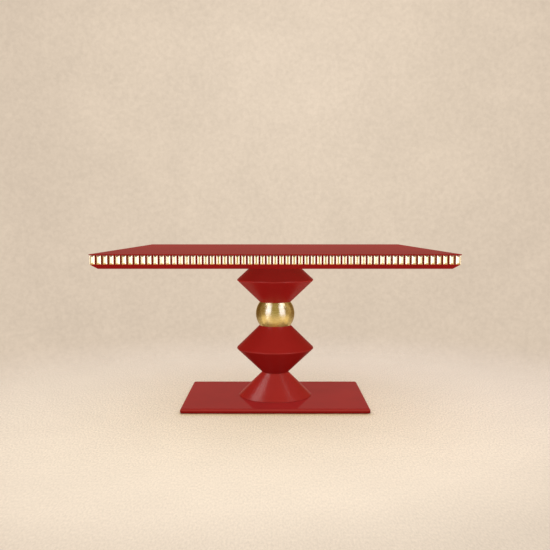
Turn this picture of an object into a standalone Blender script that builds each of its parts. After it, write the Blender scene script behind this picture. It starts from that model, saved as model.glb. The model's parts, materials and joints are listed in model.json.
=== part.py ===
"""Square pedestal dining table: a lacquered top with a gilded bead edge, on a turned pedestal.

Metres, +Z up. The floor is z = 0, the pedestal's axis is the Z axis and the front faces -Y.
"""

import math

import bmesh
import bpy
from mathutils import Matrix, Vector

MM = 0.001

# Clearances
SEAT_GAP = 0.3 * MM  # between pieces that rest on, fit in or are glued to each other
ROD_CLEARANCE = 1 * MM  # round the tie rod in the pieces that it runs through
RECESS_MARGIN = 1 * MM  # spare room round and past hardware that is let into wood

# Whole table, and the lip at its top's edge
TABLE_HEIGHT = 770 * MM
TOP_WIDTH = 1500 * MM
TOP_DEPTH = 1500 * MM
LIP_HEIGHT = 4 * MM
LIP_ROUND = 1.5 * MM
PANEL_CORNER = 4 * MM

# Gilded beads: small bevelled blocks on a strip
BEAD_HEIGHT = 35 * MM
BEAD_PITCH = 25.3 * MM  # wanted spacing, which a whole number of beads then fits
BEAD_SPACE = 5.4 * MM  # between one bead and the next
BEAD_SIDE = 5 * MM  # straight side of a bead, out from its strip
BEAD_CROWN = 4 * MM  # rise of the bevelled face beyond the side
BEAD_FLAT = 5 * MM  # width of the flat in the middle of the face
BEAD_END_SLOPE = 4 * MM  # bevel at the top and the bottom of the face
BEAD_SETBACK = 1 * MM  # from the lip's edge in to the beads' faces
BEAD_CORNER_SIDE = 1 * MM  # side of a strip's end bead that stands clear of the mitre
STRIP_BACK = 6 * MM

# Edge rails
RAIL_WIDTH = 45 * MM  # behind the bead strip
RAIL_SETBACK = 3 * MM  # from the lip's edge in to the rail's nose
RAIL_SLOPE_HEIGHT = 21 * MM
RAIL_SLOPE_DEPTH = 27 * MM

# Inside of the hollow top
UNDERSIDE_THICKNESS = 6 * MM
RIB_THICKNESS = 20 * MM
RIB_SPACING = 440 * MM  # between the centre lines of the long ribs
MOUNT_BLOCK_DEPTH = 420 * MM

# Steel plate between pedestal and top
PLATE_SIDE = 320 * MM
PLATE_THICKNESS = 6 * MM
PLATE_CORNER = 20 * MM
PLATE_SCREW_INSET = 30 * MM

# Turned pedestal, from the bottom up
FOOT_RADIUS = 185.5 * MM
FOOT_HEIGHT = 117.7 * MM
WAIST_RADIUS = 66 * MM
LOWER_RIDGE_RADIUS = 196 * MM
LOWER_FALL = 115 * MM  # from the ridge to the ball
NECK_RADIUS = 79 * MM  # where the cones meet the ball
BALL_RADIUS = 98.5 * MM
BALL_HEIGHT = 119 * MM  # between the ball's two flats
BALL_WALL = 3 * MM
UPPER_RIDGE_RADIUS = 195 * MM
UPPER_RISE = 111.5 * MM  # from the ball to the ridge
UPPER_FALL = 91.5 * MM  # from the ridge to the steel plate
UPPER_TOP_RADIUS = 96 * MM
RIDGE_ROUND = 3 * MM
TENON_RADIUS = 35 * MM
TENON_HEIGHT = 14 * MM
DOWEL_RADIUS = 4 * MM
DOWEL_LENGTH = 24 * MM
DOWEL_CIRCLE = 52 * MM  # from the pedestal's axis

# Base plate
BASE_WIDTH = 900 * MM
BASE_DEPTH = 610 * MM
BASE_THICKNESS = 20 * MM
BASE_CORNER = 16 * MM
BASE_TOP_ROUND = 9 * MM
BASE_BOTTOM_ROUND = 2 * MM

# Tie rod, nuts and washers
ROD_RADIUS = 8 * MM
ROD_END = 2 * MM  # rod past its nut
NUT_FLATS = 24 * MM
UPPER_NUT_HEIGHT = 13 * MM
LOWER_NUT_HEIGHT = 8 * MM
WASHER_RADIUS = 17 * MM
WASHER_THICKNESS = 3 * MM

# Countersunk wood screws
SCREW_RADIUS = 2.5 * MM
SCREW_HEAD_RADIUS = 5 * MM
SCREW_HEAD_HEIGHT = 3 * MM
SCREW_POINT = 5 * MM
PLATE_SCREW_LENGTH = 35 * MM
CONE_SCREW_LENGTH = 50 * MM
CONE_SCREW_CIRCLE = 60 * MM  # from the pedestal's axis
BASE_SCREW_LENGTH = 60 * MM
BASE_SCREW_CIRCLE = 110 * MM

# Levelling glides
GLIDE_SHOW = 3 * MM  # glide below the base plate
GLIDE_INSET = 60 * MM  # from the base plate's edges
GLIDE_RADIUS = 15 * MM
GLIDE_BEVEL = 1 * MM
GLIDE_FLOOR = 3 * MM  # foot below the end of its stem
GLIDE_RECESS_DEPTH = 5 * MM
STEM_RADIUS = 4 * MM
STEM_REACH = 10 * MM  # stem above its foot
INSERT_RADIUS = 6.5 * MM
INSERT_LENGTH = 11 * MM

# Facets
TURNED_STEPS = 40
HARDWARE_STEPS = 12
SCREW_STEPS = 8
CORNER_STEPS = 5
ROUND_STEPS = 3
BALL_STEPS = 8
BALL_INSIDE_STEPS = 4
SMOOTH_ANGLE = math.radians(30)
CUT_OVERSHOOT = 1 * MM
WELD = 0.001 * MM

# Heights, from the floor up to the waist
BASE_BOTTOM = GLIDE_SHOW
BASE_TOP = BASE_BOTTOM + BASE_THICKNESS
FOOT_BOTTOM = BASE_TOP + SEAT_GAP
FOOT_TOP = FOOT_BOTTOM + FOOT_HEIGHT
LOWER_BOTTOM = FOOT_TOP + SEAT_GAP

# Heights, from the top down to the lower ridge; the slope below that ridge takes what is left
PANEL_TOP = TABLE_HEIGHT
PANEL_BOTTOM = PANEL_TOP - LIP_HEIGHT
STRIP_TOP = PANEL_BOTTOM - SEAT_GAP
STRIP_BOTTOM = STRIP_TOP - BEAD_HEIGHT
UNDERSIDE = STRIP_BOTTOM - SEAT_GAP - RAIL_SLOPE_HEIGHT
CORE_BOTTOM = UNDERSIDE + UNDERSIDE_THICKNESS + SEAT_GAP
PLATE_TOP = UNDERSIDE - SEAT_GAP
PLATE_BOTTOM = PLATE_TOP - PLATE_THICKNESS
UPPER_TOP = PLATE_BOTTOM - SEAT_GAP
UPPER_RIDGE = UPPER_TOP - UPPER_FALL
UPPER_BOTTOM = UPPER_RIDGE - UPPER_RISE
BALL_TOP = UPPER_BOTTOM - SEAT_GAP
BALL_BOTTOM = BALL_TOP - BALL_HEIGHT
LOWER_TOP = BALL_BOTTOM - SEAT_GAP
LOWER_RIDGE = LOWER_TOP - LOWER_FALL

# Insets, from the lip's edge in
RIM_INSET = BEAD_SETBACK + BEAD_CROWN
STRIP_FACE_INSET = RIM_INSET + BEAD_SIDE
STRIP_BACK_INSET = STRIP_FACE_INSET + STRIP_BACK
RAIL_FACE_INSET = STRIP_BACK_INSET + SEAT_GAP
RAIL_BACK_INSET = RAIL_FACE_INSET + RAIL_WIDTH
CORE_INSET = RAIL_BACK_INSET + SEAT_GAP
MITRE_TRIM = SEAT_GAP / math.sqrt(2)

# Hardware places that follow from the sizes above
ROD_BORE = ROD_RADIUS + ROD_CLEARANCE
RECESS_RADIUS = WASHER_RADIUS + RECESS_MARGIN
LOWER_WASHER_TOP = (
    BASE_BOTTOM + RECESS_MARGIN + ROD_END + LOWER_NUT_HEIGHT + SEAT_GAP + WASHER_THICKNESS
)
LOWER_NUT_TOP = LOWER_WASHER_TOP - WASHER_THICKNESS - SEAT_GAP
ROD_BOTTOM = BASE_BOTTOM + RECESS_MARGIN
UPPER_WASHER_BOTTOM = PLATE_TOP + SEAT_GAP
UPPER_NUT_BOTTOM = UPPER_WASHER_BOTTOM + WASHER_THICKNESS + SEAT_GAP
ROD_TOP = UPPER_NUT_BOTTOM + UPPER_NUT_HEIGHT + ROD_END
GLIDE_SEAT = BASE_BOTTOM + GLIDE_RECESS_DEPTH

# Sides of the top: name, half length, distance from the axis and turn about it
SIDES = (
    ("front", TOP_WIDTH / 2, TOP_DEPTH / 2, 0),
    ("right", TOP_DEPTH / 2, TOP_WIDTH / 2, math.pi / 2),
    ("back", TOP_WIDTH / 2, TOP_DEPTH / 2, math.pi),
    ("left", TOP_DEPTH / 2, TOP_WIDTH / 2, -math.pi / 2),
)


def make_material(name, colour, roughness, metallic):
    """One Principled BSDF finish."""
    material = bpy.data.materials.new(name)
    material.use_nodes = True
    shader = material.node_tree.nodes["Principled BSDF"]
    shader.inputs["Base Color"].default_value = (*colour, 1)
    shader.inputs["Roughness"].default_value = roughness
    shader.inputs["Metallic"].default_value = metallic
    return material


def make_materials():
    """All finishes, by name."""
    finishes = {
        "red_lacquer": ((0.27, 0.012, 0.011), 0.15, 0.0),
        "gilding": ((0.72, 0.49, 0.16), 0.3, 1.0),
        "gilt_brass": ((0.70, 0.48, 0.15), 0.25, 1.0),
        "bare_wood": ((0.56, 0.39, 0.22), 0.6, 0.0),
        "plywood": ((0.60, 0.45, 0.28), 0.65, 0.0),
        "black_steel": ((0.04, 0.04, 0.042), 0.45, 0.6),
        "zinc_steel": ((0.58, 0.59, 0.60), 0.35, 0.9),
        "black_nylon": ((0.03, 0.03, 0.032), 0.5, 0.0),
    }
    return {name: make_material(name, *finish) for name, finish in finishes.items()}


def make_object(name, bm, material=None, parent=None):
    """Turn a bmesh into a named object, with its faces pointing out."""
    bmesh.ops.recalc_face_normals(bm, faces=bm.faces)
    mesh = bpy.data.meshes.new(name)
    bm.to_mesh(mesh)
    bm.free()
    mesh.shade_smooth()
    mesh.set_sharp_from_angle(angle=SMOOTH_ANGLE)
    if material:
        mesh.materials.append(material)
    item = bpy.data.objects.new(name, mesh)
    item.parent = parent
    bpy.context.scene.collection.objects.link(item)
    return item


def make_empty(name, location, parent=None):
    """A named point that pieces are placed from."""
    empty = bpy.data.objects.new(name, None)
    empty.location = location
    empty.parent = parent
    bpy.context.scene.collection.objects.link(empty)
    return empty


def make_cutter(name, bm):
    """A guide shape that only cuts other pieces."""
    cutter = make_object(name, bm)
    cutter.hide_render = True
    cutter.display_type = "WIRE"
    return cutter


def cut(item, cutter):
    """Take the cutter's shape out of a piece."""
    modifier = item.modifiers.new(cutter.name, "BOOLEAN")
    modifier.operation = "DIFFERENCE"
    modifier.solver = "EXACT"
    modifier.object = cutter


def add_turned(bm, profile, steps, place=None):
    """Spin a profile of (radius, height) points about Z; one that starts off the axis is a ring."""
    old = set(bm.verts)
    points = [bm.verts.new((radius, 0, height)) for radius, height in profile]
    pairs = list(zip(points, points[1:]))
    if profile[0][0] > 0:
        pairs.append((points[-1], points[0]))
    edges = [bm.edges.new(pair) for pair in pairs]
    bmesh.ops.spin(
        bm,
        geom=points + edges,
        cent=(0, 0, 0),
        axis=(0, 0, 1),
        angle=2 * math.pi,
        steps=steps,
        use_merge=True,
    )
    new = [vert for vert in bm.verts if vert not in old]
    bmesh.ops.remove_doubles(bm, verts=new, dist=WELD)
    if place:
        new = [vert for vert in bm.verts if vert not in old]
        bmesh.ops.transform(bm, matrix=place, verts=new)


def turned(name, profile, material, steps=TURNED_STEPS, parent=None):
    """A turned piece."""
    bm = bmesh.new()
    add_turned(bm, profile, steps)
    return make_object(name, bm, material, parent)


def fillet(before, corner, after, radius):
    """Points of the arc that rounds one corner of a profile."""
    corner = Vector(corner)
    to_before = (Vector(before) - corner).normalized()
    to_after = (Vector(after) - corner).normalized()
    half_angle = to_before.angle(to_after) / 2
    centre = corner + (to_before + to_after).normalized() * radius / math.sin(half_angle)
    start = corner + to_before * radius / math.tan(half_angle) - centre
    end = corner + to_after * radius / math.tan(half_angle) - centre
    arc = [start.lerp(end, step / ROUND_STEPS).normalized() for step in range(ROUND_STEPS + 1)]
    return [tuple(centre + direction * radius) for direction in arc]


def box(name, low, high, material):
    """A plain rectangular piece between two corners."""
    bm = bmesh.new()
    size = Vector(high) - Vector(low)
    middle = (Vector(high) + Vector(low)) / 2
    bmesh.ops.create_cube(bm, size=1, matrix=Matrix.LocRotScale(middle, None, size))
    return make_object(name, bm, material)


def slab(name, width, depth, corner, bottom, top, rounds, material):
    """A flat plate with rounded corners; rounds holds its lower and upper edge radii."""
    bm = bmesh.new()
    bmesh.ops.create_grid(bm, x_segments=1, y_segments=1, size=0.5)
    bmesh.ops.scale(bm, vec=(width, depth, 1), verts=bm.verts)
    bmesh.ops.translate(bm, vec=(0, 0, bottom), verts=bm.verts)
    bmesh.ops.bevel(
        bm,
        geom=bm.verts[:],
        offset=corner,
        segments=CORNER_STEPS,
        profile=0.5,
        affect="VERTICES",
    )
    raised = bmesh.ops.extrude_face_region(bm, geom=bm.faces[:])["geom"]
    lifted = [vert for vert in raised if isinstance(vert, bmesh.types.BMVert)]
    bmesh.ops.translate(bm, vec=(0, 0, top - bottom), verts=lifted)
    for height, radius in zip((bottom, top), rounds):
        if radius:
            rim = [edge for edge in bm.edges if all(abs(v.co.z - height) < WELD for v in edge.verts)]
            bmesh.ops.bevel(
                bm,
                geom=rim,
                offset=radius,
                segments=ROUND_STEPS,
                profile=0.5,
                affect="EDGES",
            )
    return make_object(name, bm, material)


def screw_profile(length):
    """A countersunk screw, its head's face at z = 0 and its point up."""
    return [
        (0, 0),
        (SCREW_HEAD_RADIUS, 0),
        (SCREW_RADIUS, SCREW_HEAD_HEIGHT),
        (SCREW_RADIUS, length - SCREW_POINT),
        (0, length),
    ]


def screw_hole_profile(length):
    """The hole that such a screw goes in."""
    head = SCREW_HEAD_RADIUS + SEAT_GAP
    shank = SCREW_RADIUS + SEAT_GAP
    return [
        (0, -CUT_OVERSHOOT),
        (head, -CUT_OVERSHOOT),
        (head, 0),
        (shank, SCREW_HEAD_HEIGHT),
        (shank, length - SCREW_POINT),
        (0, length + SEAT_GAP),
    ]


def make_screws(name, length, places, material):
    """A set of equal screws and the cutter for their holes."""
    holes = bmesh.new()
    for number, place in enumerate(places, start=1):
        screw = turned(f"{name}_{number}", screw_profile(length), material, SCREW_STEPS)
        screw.matrix_world = place
        add_turned(holes, screw_hole_profile(length), SCREW_STEPS, place)
    return make_cutter(f"{name}_holes", holes)


def on_circle(radius, height, upside_down=False):
    """Four places on a circle about the axis, between the X and Y axes."""
    turn = Matrix.Rotation(math.pi if upside_down else 0, 4, "X")
    places = []
    for quarter in range(4):
        angle = math.pi / 4 + quarter * math.pi / 2
        spot = (radius * math.cos(angle), radius * math.sin(angle), height)
        places.append(Matrix.Translation(spot) @ turn)
    return places


def make_rail(side, half_length, distance, turn, material):
    """One edge rail: a ledge for the bead strip and a slope below it, mitred at both ends."""
    nose_top = UNDERSIDE + RAIL_SLOPE_HEIGHT
    section = [
        (RAIL_BACK_INSET, UNDERSIDE),
        (RAIL_SETBACK + RAIL_SLOPE_DEPTH, UNDERSIDE),
        (RAIL_SETBACK, nose_top),
        (RAIL_FACE_INSET, nose_top),
        (RAIL_FACE_INSET, STRIP_TOP),
        (RAIL_BACK_INSET, STRIP_TOP),
    ]
    bm = bmesh.new()
    end = [
        bm.verts.new((-(half_length - inset - MITRE_TRIM), -(distance - inset), height))
        for inset, height in section
    ]
    face = bm.faces.new(end)
    pulled = bmesh.ops.extrude_face_region(bm, geom=[face])["geom"]
    for vert in pulled:
        if isinstance(vert, bmesh.types.BMVert):
            vert.co.x = -vert.co.x
    rail = make_object(f"edge_rail_{side}", bm, material)
    rail.rotation_euler.z = turn


def bead_outline(half_length, distance):
    """A bead strip seen from above, up to the beads' rims, and the width of one bead."""
    reach = half_length - RIM_INSET - BEAD_CORNER_SIDE
    count = round((2 * reach + BEAD_SPACE) / BEAD_PITCH)
    width = (2 * reach + BEAD_SPACE) / count - BEAD_SPACE
    back = half_length - STRIP_BACK_INSET - MITRE_TRIM
    mitre = distance - RIM_INSET - BEAD_CORNER_SIDE + MITRE_TRIM
    rim = distance - RIM_INSET
    floor = distance - STRIP_FACE_INSET
    outline = [(-back, -(distance - STRIP_BACK_INSET)), (-reach, -mitre)]
    for bead in range(count):
        left = -reach + bead * (width + BEAD_SPACE)
        if bead > 0:
            outline.append((left, -floor))
        outline += [(left, -rim), (left + width, -rim)]
        if bead < count - 1:
            outline.append((left + width, -floor))
    outline += [(reach, -mitre), (back, -(distance - STRIP_BACK_INSET))]
    return outline, width


def make_bead_strip(side, half_length, distance, turn, material):
    """One gilded strip with its row of bevelled beads, mitred at both ends."""
    outline, width = bead_outline(half_length, distance)
    bm = bmesh.new()
    face = bm.faces.new([bm.verts.new((x, y, STRIP_BOTTOM)) for x, y in outline])
    raised = bmesh.ops.extrude_face_region(bm, geom=[face])["geom"]
    lifted = [vert for vert in raised if isinstance(vert, bmesh.types.BMVert)]
    bmesh.ops.translate(bm, vec=(0, 0, BEAD_HEIGHT), verts=lifted)
    rim = -(distance - RIM_INSET)
    fronts = [face for face in bm.faces if all(abs(vert.co.y - rim) < WELD for vert in face.verts)]
    for crown in bmesh.ops.extrude_discrete_faces(bm, faces=fronts)["faces"]:
        middle = crown.calc_center_median()
        for vert in crown.verts:
            offset = vert.co - middle
            vert.co.x = middle.x + offset.x * BEAD_FLAT / width
            vert.co.y -= BEAD_CROWN
            vert.co.z -= math.copysign(BEAD_END_SLOPE, offset.z)
    strip = make_object(f"bead_strip_{side}", bm, material)
    strip.rotation_euler.z = turn


def make_core(material):
    """Ribs that stiffen the hollow top."""
    core_top = STRIP_TOP
    half_depth = TOP_DEPTH / 2 - CORE_INSET
    half_width = TOP_WIDTH / 2 - CORE_INSET
    near = RIB_SPACING / 2 - RIB_THICKNESS / 2
    far = RIB_SPACING / 2 + RIB_THICKNESS / 2
    for name, way in (("left", -1), ("right", 1)):
        long_x = sorted((way * near, way * far))
        long_low = (long_x[0], -half_depth, CORE_BOTTOM)
        long_high = (long_x[1], half_depth, core_top)
        box(f"long_rib_{name}", long_low, long_high, material)
        cross_x = sorted((way * (far + SEAT_GAP), way * half_width))
        cross_low = (cross_x[0], -RIB_THICKNESS / 2, CORE_BOTTOM)
        cross_high = (cross_x[1], RIB_THICKNESS / 2, core_top)
        box(f"cross_rib_{name}", cross_low, cross_high, material)


def make_top(finish):
    """The hollow top, and its pieces that the pedestal's hardware goes into."""
    slab(
        "tabletop_panel",
        TOP_WIDTH,
        TOP_DEPTH,
        PANEL_CORNER,
        PANEL_BOTTOM,
        PANEL_TOP,
        (LIP_ROUND, LIP_ROUND),
        finish["red_lacquer"],
    )
    for side in SIDES:
        make_rail(*side, finish["red_lacquer"])
        make_bead_strip(*side, finish["gilding"])
    make_core(finish["bare_wood"])
    half_width = TOP_WIDTH / 2 - CORE_INSET
    half_depth = TOP_DEPTH / 2 - CORE_INSET
    underside = box(
        "underside_panel",
        (-half_width, -half_depth, UNDERSIDE),
        (half_width, half_depth, UNDERSIDE + UNDERSIDE_THICKNESS),
        finish["red_lacquer"],
    )
    block_half = RIB_SPACING / 2 - RIB_THICKNESS / 2 - SEAT_GAP
    block = box(
        "mounting_block",
        (-block_half, -MOUNT_BLOCK_DEPTH / 2, CORE_BOTTOM),
        (block_half, MOUNT_BLOCK_DEPTH / 2, STRIP_TOP),
        finish["plywood"],
    )
    return underside, block


def make_mounting(underside, block, upper, finish):
    """Steel plate on the pedestal, its screws and the room for the nut above it."""
    plate = slab(
        "mounting_plate",
        PLATE_SIDE,
        PLATE_SIDE,
        PLATE_CORNER,
        PLATE_BOTTOM,
        PLATE_TOP,
        (0, 0),
        finish["black_steel"],
    )
    reach = PLATE_SIDE / 2 - PLATE_SCREW_INSET
    spots = [(x, y) for x in (-reach, 0, reach) for y in (-reach, 0, reach) if x or y]
    places = [Matrix.Translation((x, y, PLATE_BOTTOM)) for x, y in spots]
    plate_holes = make_screws("plate_screw", PLATE_SCREW_LENGTH, places, finish["zinc_steel"])
    for item in (plate, underside, block):
        cut(item, plate_holes)
    places = on_circle(CONE_SCREW_CIRCLE, PLATE_TOP, upside_down=True)
    cone_holes = make_screws("cone_screw", CONE_SCREW_LENGTH, places, finish["zinc_steel"])
    for item in (plate, upper):
        cut(item, cone_holes)
    bm = bmesh.new()
    pocket_low = UNDERSIDE - SEAT_GAP / 2
    pocket_high = ROD_TOP + RECESS_MARGIN
    bore_low = PLATE_BOTTOM - CUT_OVERSHOOT
    pocket = [
        (0, bore_low),
        (ROD_BORE, bore_low),
        (ROD_BORE, pocket_low),
        (RECESS_RADIUS, pocket_low),
        (RECESS_RADIUS, pocket_high),
        (0, pocket_high),
    ]
    add_turned(bm, pocket, HARDWARE_STEPS)
    nut_room = make_cutter("upper_nut_room", bm)
    for item in (plate, underside, block):
        cut(item, nut_room)


def dowel_hole(bm, joint):
    """Hole for the dowel across one joint of the pedestal."""
    half = DOWEL_LENGTH / 2 + SEAT_GAP
    radius = DOWEL_RADIUS + SEAT_GAP
    profile = [(0, -half), (radius, -half), (radius, half), (0, half)]
    add_turned(bm, profile, SCREW_STEPS, Matrix.Translation((DOWEL_CIRCLE, 0, joint)))


def make_dowels(joints, material):
    """One dowel across each joint, and the cutter for all their holes."""
    holes = bmesh.new()
    half = DOWEL_LENGTH / 2
    profile = [(0, -half), (DOWEL_RADIUS, -half), (DOWEL_RADIUS, half), (0, half)]
    for name, joint in joints:
        dowel = turned(f"{name}_dowel", profile, material, SCREW_STEPS)
        dowel.location = (DOWEL_CIRCLE, 0, joint)
        dowel_hole(holes, joint)
    return make_cutter("dowel_holes", holes)


def tenon(joint):
    """Profile of a bored tenon that stands on a piece's top, from its foot in to the bore."""
    return [
        (TENON_RADIUS, joint),
        (TENON_RADIUS, joint + TENON_HEIGHT),
        (ROD_BORE, joint + TENON_HEIGHT),
    ]


def socket(joint):
    """Profile of the socket in the next piece's bottom, from the bore out to its mouth."""
    roof = joint + TENON_HEIGHT
    return [
        (ROD_BORE, roof),
        (TENON_RADIUS + SEAT_GAP, roof),
        (TENON_RADIUS + SEAT_GAP, joint),
    ]


def make_double_cone(name, bottom, bottom_radius, ridge, ridge_radius, top_profile, material):
    """A turned double cone with a socket below; top_profile starts at its top edge."""
    low = (bottom_radius, bottom)
    high = top_profile[0]
    rounded = fillet(low, (ridge_radius, ridge), high, RIDGE_ROUND)
    return turned(name, socket(bottom) + [low] + rounded + top_profile, material)


def ball_arc(radius, steps):
    """Points on the ball from its lower flat up to its upper one."""
    middle = (BALL_BOTTOM + BALL_TOP) / 2
    limit = math.asin(BALL_HEIGHT / 2 / radius)
    angles = [limit * (2 * step / steps - 1) for step in range(steps + 1)]
    return [(radius * math.cos(angle), middle + radius * math.sin(angle)) for angle in angles]


def make_ball(finish):
    """The gilt shell and the core inside it."""
    outer = ball_arc(BALL_RADIUS, BALL_STEPS)
    inner = ball_arc(BALL_RADIUS - BALL_WALL, BALL_INSIDE_STEPS)
    turned("ball_shell", outer + inner[::-1], finish["gilt_brass"])
    core_radius = inner[0][0] - SEAT_GAP
    sides = [(core_radius, BALL_BOTTOM), (core_radius, BALL_TOP)]
    return turned("ball_core", socket(BALL_BOTTOM) + sides + tenon(BALL_TOP), finish["bare_wood"])


def make_pedestal(finish):
    """The turned pieces, stacked on each other by tenons and dowels."""
    foot_profile = [(ROD_BORE, FOOT_BOTTOM), (FOOT_RADIUS, FOOT_BOTTOM), (WAIST_RADIUS, FOOT_TOP)]
    foot = turned("foot_cone", foot_profile + tenon(FOOT_TOP), finish["red_lacquer"])
    lower = make_double_cone(
        "lower_double_cone",
        LOWER_BOTTOM,
        WAIST_RADIUS,
        LOWER_RIDGE,
        LOWER_RIDGE_RADIUS,
        [(NECK_RADIUS, LOWER_TOP)] + tenon(LOWER_TOP),
        finish["red_lacquer"],
    )
    ball_core = make_ball(finish)
    upper = make_double_cone(
        "upper_double_cone",
        UPPER_BOTTOM,
        NECK_RADIUS,
        UPPER_RIDGE,
        UPPER_RIDGE_RADIUS,
        [(UPPER_TOP_RADIUS, UPPER_TOP), (ROD_BORE, UPPER_TOP)],
        finish["red_lacquer"],
    )
    joints = (
        ("lower", (FOOT_TOP + LOWER_BOTTOM) / 2),
        ("middle", (LOWER_TOP + BALL_BOTTOM) / 2),
        ("upper", (BALL_TOP + UPPER_BOTTOM) / 2),
    )
    dowel_holes = make_dowels(joints, finish["bare_wood"])
    for item in (foot, lower, ball_core, upper):
        cut(item, dowel_holes)
    return foot, upper


def make_base(foot, finish):
    """The base plate, the screws up into the foot cone and the recesses for nut and glides."""
    base = slab(
        "base_plate",
        BASE_WIDTH,
        BASE_DEPTH,
        BASE_CORNER,
        BASE_BOTTOM,
        BASE_TOP,
        (BASE_BOTTOM_ROUND, BASE_TOP_ROUND),
        finish["red_lacquer"],
    )
    places = on_circle(BASE_SCREW_CIRCLE, BASE_BOTTOM)
    base_holes = make_screws("base_screw", BASE_SCREW_LENGTH, places, finish["zinc_steel"])
    for item in (base, foot):
        cut(item, base_holes)
    bm = bmesh.new()
    below = BASE_BOTTOM - CUT_OVERSHOOT
    nut_roof = LOWER_WASHER_TOP + SEAT_GAP
    nut_room = [
        (0, below),
        (RECESS_RADIUS, below),
        (RECESS_RADIUS, nut_roof),
        (ROD_BORE, nut_roof),
        (ROD_BORE, BASE_TOP + CUT_OVERSHOOT),
        (0, BASE_TOP + CUT_OVERSHOOT),
    ]
    add_turned(bm, nut_room, HARDWARE_STEPS)
    insert_roof = GLIDE_SEAT + INSERT_LENGTH + SEAT_GAP
    glide_room = [
        (0, below),
        (GLIDE_RADIUS + RECESS_MARGIN, below),
        (GLIDE_RADIUS + RECESS_MARGIN, GLIDE_SEAT),
        (INSERT_RADIUS + SEAT_GAP, GLIDE_SEAT),
        (INSERT_RADIUS + SEAT_GAP, insert_roof),
        (0, insert_roof),
    ]
    for name, x, y in glide_spots():
        add_turned(bm, glide_room, HARDWARE_STEPS, Matrix.Translation((x, y, 0)))
    cut(base, make_cutter("base_recesses", bm))


def glide_spots():
    """Name and place of each levelling glide."""
    x = BASE_WIDTH / 2 - GLIDE_INSET
    y = BASE_DEPTH / 2 - GLIDE_INSET
    return (
        ("front_left", -x, -y),
        ("front_right", x, -y),
        ("back_left", -x, y),
        ("back_right", x, y),
    )


def make_glides(finish):
    """Four levelling glides, each a foot and stem that screw out of a threaded insert."""
    foot_top = GLIDE_SEAT - SEAT_GAP
    socket_radius = STEM_RADIUS + SEAT_GAP
    foot_profile = [
        (0, 0),
        (GLIDE_RADIUS - GLIDE_BEVEL, 0),
        (GLIDE_RADIUS, GLIDE_BEVEL),
        (GLIDE_RADIUS, foot_top),
        (socket_radius, foot_top),
        (socket_radius, GLIDE_FLOOR),
        (0, GLIDE_FLOOR),
    ]
    stem_bottom = GLIDE_FLOOR + SEAT_GAP
    stem_top = foot_top + STEM_REACH
    stem_profile = [(0, stem_bottom), (STEM_RADIUS, stem_bottom), (STEM_RADIUS, stem_top), (0, stem_top)]
    insert_top = GLIDE_SEAT + INSERT_LENGTH
    insert_profile = [
        (socket_radius, GLIDE_SEAT),
        (INSERT_RADIUS, GLIDE_SEAT),
        (INSERT_RADIUS, insert_top),
        (socket_radius, insert_top),
    ]
    for name, x, y in glide_spots():
        axis = make_empty(f"glide_{name}", (x, y, 0))
        turned(f"glide_foot_{name}", foot_profile, finish["black_nylon"], HARDWARE_STEPS, axis)
        turned(f"glide_stem_{name}", stem_profile, finish["zinc_steel"], HARDWARE_STEPS, axis)
        turned(f"glide_insert_{name}", insert_profile, finish["zinc_steel"], HARDWARE_STEPS, axis)


def make_nut(name, bottom, height, material):
    """A hexagon nut on the tie rod."""
    bm = bmesh.new()
    corner = NUT_FLATS / 2 / math.cos(math.pi / 6)
    place = Matrix.Translation((0, 0, bottom + height / 2))
    bmesh.ops.create_cone(
        bm,
        cap_ends=True,
        segments=6,
        radius1=corner,
        radius2=corner,
        depth=height,
        matrix=place,
    )
    nut = make_object(name, bm, material)
    bm = bmesh.new()
    thread = ROD_RADIUS + SEAT_GAP
    low = bottom - CUT_OVERSHOOT
    high = bottom + height + CUT_OVERSHOOT
    add_turned(bm, [(0, low), (thread, low), (thread, high), (0, high)], HARDWARE_STEPS)
    cut(nut, make_cutter(f"{name}_thread", bm))


def make_tie_rod(material):
    """The rod that clamps the pedestal together, with a nut and a washer at each end."""
    rod_profile = [(0, ROD_BOTTOM), (ROD_RADIUS, ROD_BOTTOM), (ROD_RADIUS, ROD_TOP), (0, ROD_TOP)]
    turned("tie_rod", rod_profile, material, HARDWARE_STEPS)
    hole = ROD_RADIUS + SEAT_GAP
    for name, bottom in (
        ("lower_washer", LOWER_WASHER_TOP - WASHER_THICKNESS),
        ("upper_washer", UPPER_WASHER_BOTTOM),
    ):
        top = bottom + WASHER_THICKNESS
        ring = [(hole, bottom), (WASHER_RADIUS, bottom), (WASHER_RADIUS, top), (hole, top)]
        turned(name, ring, material, HARDWARE_STEPS)
    make_nut("lower_nut", LOWER_NUT_TOP - LOWER_NUT_HEIGHT, LOWER_NUT_HEIGHT, material)
    make_nut("upper_nut", UPPER_NUT_BOTTOM, UPPER_NUT_HEIGHT, material)


def main():
    """Build the whole table."""
    for item in list(bpy.data.objects):
        bpy.data.objects.remove(item, do_unlink=True)
    finish = make_materials()
    underside, block = make_top(finish)
    foot, upper = make_pedestal(finish)
    make_mounting(underside, block, upper, finish)
    make_base(foot, finish)
    make_tie_rod(finish["zinc_steel"])
    make_glides(finish)


main()
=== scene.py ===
import json
import math

import bmesh
import bpy
from mathutils import Matrix, Vector

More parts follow.
